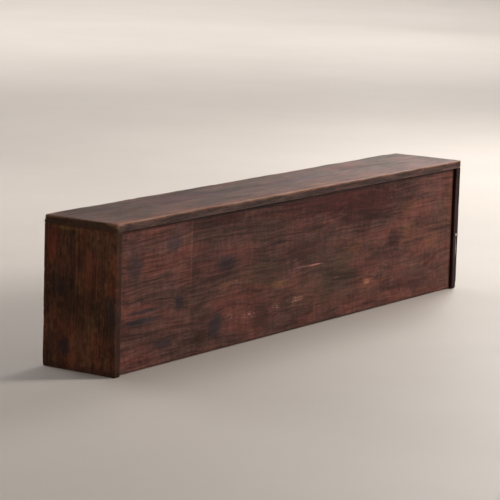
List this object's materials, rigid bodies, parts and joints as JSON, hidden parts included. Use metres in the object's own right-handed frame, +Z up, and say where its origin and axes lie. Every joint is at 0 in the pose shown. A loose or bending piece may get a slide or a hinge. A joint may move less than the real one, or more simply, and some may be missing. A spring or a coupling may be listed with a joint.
{
  "type": "sideboard",
  "caption": "Long low plank sideboard, closed along the front, with drawers at each end and sliding doors behind.",
  "frame": {"origin": "middle of the underside, on the floor", "axes": "+X along the length, to the right of someone who faces the closed plank side; +Y from that side to the side with the drawers and doors; +Z up"},
  "size_m": [1.82, 0.2605, 0.42],
  "materials": {
    "top_plank": "old oiled softwood, worn",
    "front_plank": "old stained softwood, rubbed",
    "end_plank": "old stained softwood, dark",
    "carcass_wood": "bare softwood, aged",
    "track_wood": "hard wood, waxed by use",
    "door_wood": "stained softwood, rubbed",
    "drawer_front_wood": "stained softwood, rubbed",
    "drawer_box_wood": "bare light softwood",
    "peg_wood": "bare hard wood",
    "pull_iron": "blackened iron"
  },
  "bodies": {
    "carcass": {"top_board": "top_plank", "front_panel": "front_plank", "bottom_board": "carcass_wood", "middle_shelf": "carcass_wood", "door_track_top": "track_wood", "door_track_bottom": "track_wood", "end_board_left": "end_plank", "top_dowels_left": "peg_wood", "partition_left": "carcass_wood", "divider_left": "carcass_wood", "base_batten_left": "carcass_wood", "end_board_right": "end_plank", "top_dowels_right": "peg_wood", "partition_right": "carcass_wood", "divider_right": "carcass_wood", "base_batten_right": "carcass_wood"},
    "door_left": {"door_left_board": "door_wood", "door_left_batten_outer": "door_wood", "door_left_batten_inner": "door_wood", "door_left_pull": "pull_iron"},
    "door_right": {"door_right_board": "door_wood", "door_right_batten_outer": "door_wood", "door_right_batten_inner": "door_wood", "door_right_pull": "pull_iron"},
    "drawer_left_lower": {"drawer_left_lower_front": "drawer_front_wood", "drawer_left_lower_back": "drawer_box_wood", "drawer_left_lower_side_left": "drawer_box_wood", "drawer_left_lower_side_right": "drawer_box_wood", "drawer_left_lower_bottom": "drawer_box_wood", "drawer_left_lower_pegs": "peg_wood", "drawer_left_lower_pull_mounts": "pull_iron"},
    "bail_left_lower": {"drawer_left_lower_bail": "pull_iron"},
    "drawer_left_upper": {"drawer_left_upper_front": "drawer_front_wood", "drawer_left_upper_back": "drawer_box_wood", "drawer_left_upper_side_left": "drawer_box_wood", "drawer_left_upper_side_right": "drawer_box_wood", "drawer_left_upper_bottom": "drawer_box_wood", "drawer_left_upper_pegs": "peg_wood", "drawer_left_upper_pull_mounts": "pull_iron"},
    "bail_left_upper": {"drawer_left_upper_bail": "pull_iron"},
    "drawer_right_lower": {"drawer_right_lower_front": "drawer_front_wood", "drawer_right_lower_back": "drawer_box_wood", "drawer_right_lower_side_left": "drawer_box_wood", "drawer_right_lower_side_right": "drawer_box_wood", "drawer_right_lower_bottom": "drawer_box_wood", "drawer_right_lower_pegs": "peg_wood", "drawer_right_lower_pull_mounts": "pull_iron"},
    "bail_right_lower": {"drawer_right_lower_bail": "pull_iron"},
    "drawer_right_upper": {"drawer_right_upper_front": "drawer_front_wood", "drawer_right_upper_back": "drawer_box_wood", "drawer_right_upper_side_left": "drawer_box_wood", "drawer_right_upper_side_right": "drawer_box_wood", "drawer_right_upper_bottom": "drawer_box_wood", "drawer_right_upper_pegs": "peg_wood", "drawer_right_upper_pull_mounts": "pull_iron"},
    "bail_right_upper": {"drawer_right_upper_bail": "pull_iron"}
  },
  "joints": [
    {"name": "door_left_slide", "type": "slide", "parent": "carcass", "child": "door_left", "axis": [1, 0, 0], "range_m": [0, 0.538]},
    {"name": "door_right_slide", "type": "slide", "parent": "carcass", "child": "door_right", "axis": [-1, 0, 0], "range_m": [0, 0.538]},
    {"name": "drawer_left_lower_slide", "type": "slide", "parent": "carcass", "child": "drawer_left_lower", "axis": [0, 1, 0], "range_m": [0, 0.17]},
    {"name": "bail_left_lower_swing", "type": "hinge", "parent": "drawer_left_lower", "child": "bail_left_lower", "pos_m": [-0.728, 0.1305, 0.143], "axis": [1, 0, 0], "range_deg": [-14, 190]},
    {"name": "drawer_left_upper_slide", "type": "slide", "parent": "carcass", "child": "drawer_left_upper", "axis": [0, 1, 0], "range_m": [0, 0.17]},
    {"name": "bail_left_upper_swing", "type": "hinge", "parent": "drawer_left_upper", "child": "bail_left_upper", "pos_m": [-0.728, 0.1305, 0.335], "axis": [1, 0, 0], "range_deg": [-14, 190]},
    {"name": "drawer_right_lower_slide", "type": "slide", "parent": "carcass", "child": "drawer_right_lower", "axis": [0, 1, 0], "range_m": [0, 0.17]},
    {"name": "bail_right_lower_swing", "type": "hinge", "parent": "drawer_right_lower", "child": "bail_right_lower", "pos_m": [0.728, 0.1305, 0.143], "axis": [1, 0, 0], "range_deg": [-14, 190]},
    {"name": "drawer_right_upper_slide", "type": "slide", "parent": "carcass", "child": "drawer_right_upper", "axis": [0, 1, 0], "range_m": [0, 0.17]},
    {"name": "bail_right_upper_swing", "type": "hinge", "parent": "drawer_right_upper", "child": "bail_right_upper", "pos_m": [0.728, 0.1305, 0.335], "axis": [1, 0, 0], "range_deg": [-14, 190]}
  ]
}
